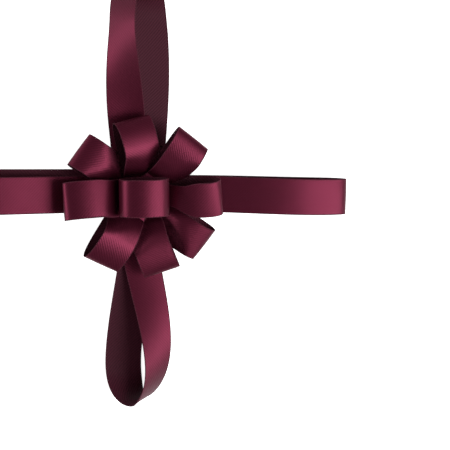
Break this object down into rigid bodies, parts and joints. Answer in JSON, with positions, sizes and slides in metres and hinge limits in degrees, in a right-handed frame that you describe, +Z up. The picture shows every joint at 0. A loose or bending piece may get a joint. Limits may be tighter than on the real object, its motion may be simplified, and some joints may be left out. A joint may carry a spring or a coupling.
{
  "type": "pre-made gift bow",
  "caption": "Ready-made satin-ribbon gift bow: a rosette of bendable petal loops and a swivelling centre loop, sewn on crossed wrap loops that go round a gift box.",
  "frame": {"origin": "on the table under the stitch, at the centre of the crossed wrap loops", "axes": "+X to the right, +Y to the top of the bow as it lies, +Z up, out of the face of the rosette"},
  "size_m": [0.1872, 0.1828, 0.0231],
  "materials": {
    "satin_ribbon": "single-face satin, burgundy, with a matt woven back",
    "sewing_thread": "twisted sewing thread"
  },
  "bodies": {
    "bow_base": {"across_wrap_back": "satin_ribbon", "along_wrap_back": "satin_ribbon", "bottom_knot": "sewing_thread", "along_wrap_bottom_end": "satin_ribbon", "along_wrap_top_end": "satin_ribbon", "across_wrap_right_end": "satin_ribbon", "across_wrap_left_end": "satin_ribbon", "waist_1": "satin_ribbon", "waist_2": "satin_ribbon", "waist_3": "satin_ribbon", "waist_4": "satin_ribbon", "stitch_thread": "sewing_thread", "top_knot": "sewing_thread"},
    "petal_upper_left": {"petal_upper_left": "satin_ribbon"},
    "petal_lower_right": {"petal_lower_right": "satin_ribbon"},
    "petal_top": {"petal_top": "satin_ribbon"},
    "petal_bottom": {"petal_bottom": "satin_ribbon"},
    "petal_upper_right": {"petal_upper_right": "satin_ribbon"},
    "petal_lower_left": {"petal_lower_left": "satin_ribbon"},
    "petal_right": {"petal_right": "satin_ribbon"},
    "petal_left": {"petal_left": "satin_ribbon"},
    "centre_loop": {"centre_loop": "satin_ribbon"},
    "wrap_arm_top": {"wrap_arm_top": "satin_ribbon"},
    "wrap_arm_bottom": {"wrap_arm_bottom": "satin_ribbon"},
    "wrap_arm_left": {"wrap_arm_left": "satin_ribbon"},
    "wrap_arm_right": {"wrap_arm_right": "satin_ribbon"}
  },
  "joints": [
    {"name": "petal_upper_left_bend", "type": "hinge", "parent": "bow_base", "child": "petal_upper_left", "pos_m": [-0.01428, 0.01096, 0.00415], "axis": [0.6088, 0.7934, 0], "range_deg": [-5, 10], "stiffness_Nm_per_rad": 0.003},
    {"name": "petal_lower_right_bend", "type": "hinge", "parent": "bow_base", "child": "petal_lower_right", "pos_m": [0.01428, -0.01096, 0.00415], "axis": [-0.6088, -0.7934, 0], "range_deg": [-5, 10], "stiffness_Nm_per_rad": 0.003},
    {"name": "petal_top_bend", "type": "hinge", "parent": "bow_base", "child": "petal_top", "pos_m": [-0.00324, 0.01669, 0.00555], "axis": [0.9816, 0.1908, 0], "range_deg": [-8, 20], "stiffness_Nm_per_rad": 0.003},
    {"name": "petal_bottom_bend", "type": "hinge", "parent": "bow_base", "child": "petal_bottom", "pos_m": [0.00324, -0.01669, 0.00555], "axis": [-0.9816, -0.1908, 0], "range_deg": [-8, 20], "stiffness_Nm_per_rad": 0.003},
    {"name": "petal_upper_right_bend", "type": "hinge", "parent": "bow_base", "child": "petal_upper_right", "pos_m": [0.00922, 0.01246, 0.00695], "axis": [0.8039, -0.5948, 0], "range_deg": [-8, 20], "stiffness_Nm_per_rad": 0.003},
    {"name": "petal_lower_left_bend", "type": "hinge", "parent": "bow_base", "child": "petal_lower_left", "pos_m": [-0.00922, -0.01246, 0.00695], "axis": [-0.8039, 0.5948, 0], "range_deg": [-8, 20], "stiffness_Nm_per_rad": 0.003},
    {"name": "petal_right_bend", "type": "hinge", "parent": "bow_base", "child": "petal_right", "pos_m": [0.01199, 0.00042, 0.00835], "axis": [0.0349, -0.9994, 0], "range_deg": [-8, 30], "stiffness_Nm_per_rad": 0.003},
    {"name": "petal_left_bend", "type": "hinge", "parent": "bow_base", "child": "petal_left", "pos_m": [-0.01199, -0.00042, 0.00835], "axis": [-0.0349, 0.9994, 0], "range_deg": [-8, 30], "stiffness_Nm_per_rad": 0.003},
    {"name": "centre_loop_swivel", "type": "hinge", "parent": "bow_base", "child": "centre_loop", "pos_m": [0, 0, 0.0088], "axis": [0, 0, 1], "range_deg": [-90, 90]},
    {"name": "wrap_arm_top_droop", "type": "hinge", "parent": "bow_base", "child": "wrap_arm_top", "pos_m": [0, 0.02, 0.0022], "axis": [1, 0, 0], "range_deg": [-80, 0], "stiffness_Nm_per_rad": 0.0005},
    {"name": "wrap_arm_bottom_droop", "type": "hinge", "parent": "bow_base", "child": "wrap_arm_bottom", "pos_m": [0, -0.02, 0.0018], "axis": [-1, 0, 0], "range_deg": [-80, 0], "stiffness_Nm_per_rad": 0.0005},
    {"name": "wrap_arm_left_droop", "type": "hinge", "parent": "bow_base", "child": "wrap_arm_left", "pos_m": [-0.02, 0.00042, 0.003], "axis": [0.0209, 0.9998, 0], "range_deg": [-80, 0], "stiffness_Nm_per_rad": 0.0005},
    {"name": "wrap_arm_right_droop", "type": "hinge", "parent": "bow_base", "child": "wrap_arm_right", "pos_m": [0.02, -0.00042, 0.0026], "axis": [-0.0209, -0.9998, 0], "range_deg": [-80, 0], "stiffness_Nm_per_rad": 0.0005}
  ]
}
